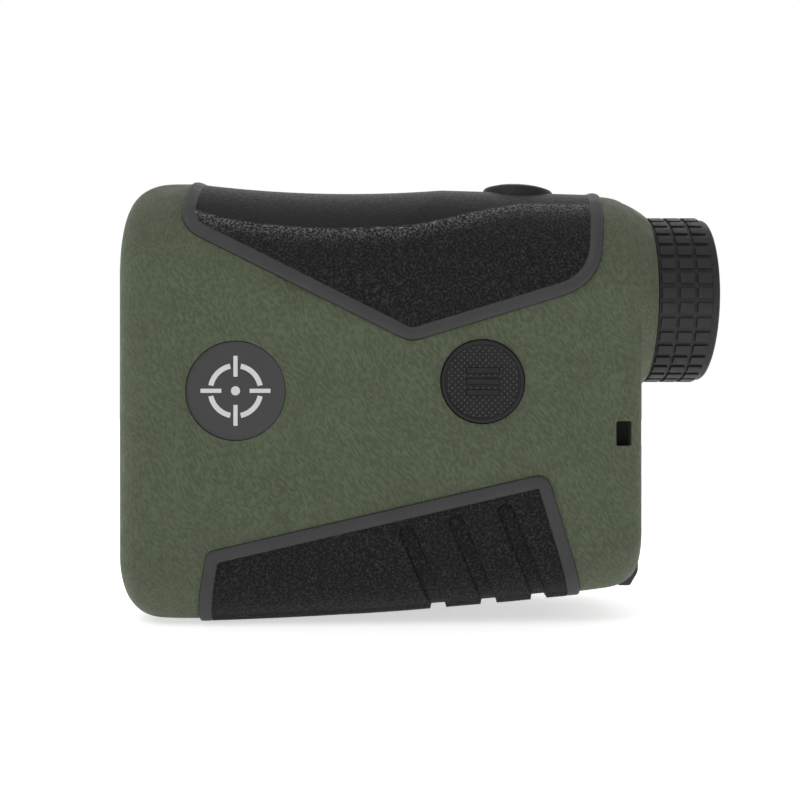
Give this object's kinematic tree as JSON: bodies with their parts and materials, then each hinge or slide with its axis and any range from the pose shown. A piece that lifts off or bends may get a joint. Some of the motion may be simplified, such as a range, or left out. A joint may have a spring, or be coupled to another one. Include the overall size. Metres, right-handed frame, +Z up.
{
  "type": "laser rangefinder",
  "caption": "Hand-held monocular laser rangefinder with rubber grips, side mode button, domed power button, ribbed diopter ring and rear battery door.",
  "frame": {"origin": "under the middle of the outline, at the height of the lowest point of the lower grip", "axes": "+Z up, -X towards the objective (the way it looks), +X towards the eyepiece, -Y the side with the badge and mode button"},
  "size_m": [0.1012, 0.0402, 0.0761],
  "materials": {
    "body_green": "moulded soft-touch green, fine leather grain",
    "grip_rubber": "moulded black rubber, smooth rim, coarse spark-textured panel",
    "bezel_black": "fine matt black",
    "badge_grey": null,
    "button_rubber": "moulded black rubber",
    "ring_rubber": "satin black rubber, raised pads",
    "door_plastic": "matt dark grey",
    "inner_plastic": "matt black",
    "metal_black": "black anodised",
    "coated_glass": "polished, multi-coated",
    "prism_glass": "polished and ground",
    "board_green": "solder mask",
    "chip_black": "moulded epoxy",
    "steel": "plain",
    "brass_gold": "gold plated",
    "flex_film": "polyimide film",
    "battery_wrap": "plain printed wrap",
    "seal_rubber": "plain"
  },
  "bodies": {
    "case": {"left_shell": "body_green", "right_shell": "body_green", "top_grip": "grip_rubber", "bottom_grip": "grip_rubber", "front_bezel": "bezel_black", "badge_disc": "badge_grey", "lanyard_insert": "inner_plastic", "objective_barrel": "metal_black", "objective_crown": "coated_glass", "objective_flint": "coated_glass", "objective_retainer": "metal_black", "emitter_tube": "inner_plastic", "emitter_lens": "coated_glass", "emitter_retainer": "metal_black", "laser_diode": "steel", "laser_board": "board_green", "prism_housing": "metal_black", "prism_cover": "metal_black", "half_penta_prism": "prism_glass", "roof_prism": "prism_glass", "prism_clip": "steel", "cover_screws": "steel", "apd_detector": "steel", "apd_board": "board_green", "display_frame": "inner_plastic", "display_lcd": "coated_glass", "display_flex": "flex_film", "flex_connector": "chip_black", "main_board": "board_green", "board_chips": "chip_black", "board_screws": "steel", "mode_switch": "steel", "power_board": "board_green", "power_switch": "steel", "eyepiece_sleeve": "metal_black", "ring_clip": "steel", "battery": "battery_wrap", "battery_tube": "inner_plastic", "blind_contact": "brass_gold", "door_gasket": "seal_rubber", "hinge_pin": "steel", "shell_screws": "steel"},
    "power_button_group": {"power_button": "button_rubber", "power_plunger": "chip_black"},
    "mode_button_group": {"mode_button": "button_rubber", "mode_plunger": "chip_black"},
    "ring_group": {"diopter_ring": "metal_black", "ring_seal": "seal_rubber", "ring_sleeve": "ring_rubber", "eyecup": "ring_rubber"},
    "cell_group": {"eyepiece_cell": "metal_black", "drive_pin": "steel", "field_lens": "coated_glass", "lens_spacer": "metal_black", "eye_lens": "coated_glass", "eye_retainer": "metal_black"},
    "door_group": {"battery_door": "door_plastic", "door_contact": "brass_gold"}
  },
  "joints": [
    {"name": "power_press", "type": "slide", "parent": "case", "child": "power_button_group", "axis": [-0.0593, 0, -0.9982], "range_m": [0, 0.0005], "stiffness_N_per_m": 1500, "springref_m": -0.0004},
    {"name": "mode_press", "type": "slide", "parent": "case", "child": "mode_button_group", "axis": [0, 1, 0], "range_m": [0, 0.0005], "stiffness_N_per_m": 1500, "springref_m": -0.0004},
    {"name": "diopter_turn", "type": "hinge", "parent": "case", "child": "ring_group", "pos_m": [0.0457, 0, 0.0551], "axis": [1, 0, 0], "range_deg": [-120, 120]},
    {"name": "cell_slide", "type": "slide", "parent": "case", "child": "cell_group", "axis": [1, 0, 0], "range_m": [-0.001, 0.001]},
    {"name": "door_swing", "type": "hinge", "parent": "case", "child": "door_group", "pos_m": [0.0349, 0, 0.00765], "axis": [0, 1, 0], "range_deg": [0, 90]}
  ],
  "couplings": [
    {"joint": "diopter_turn", "follows": "cell_slide", "rad_per_m": 2094.4}
  ]
}
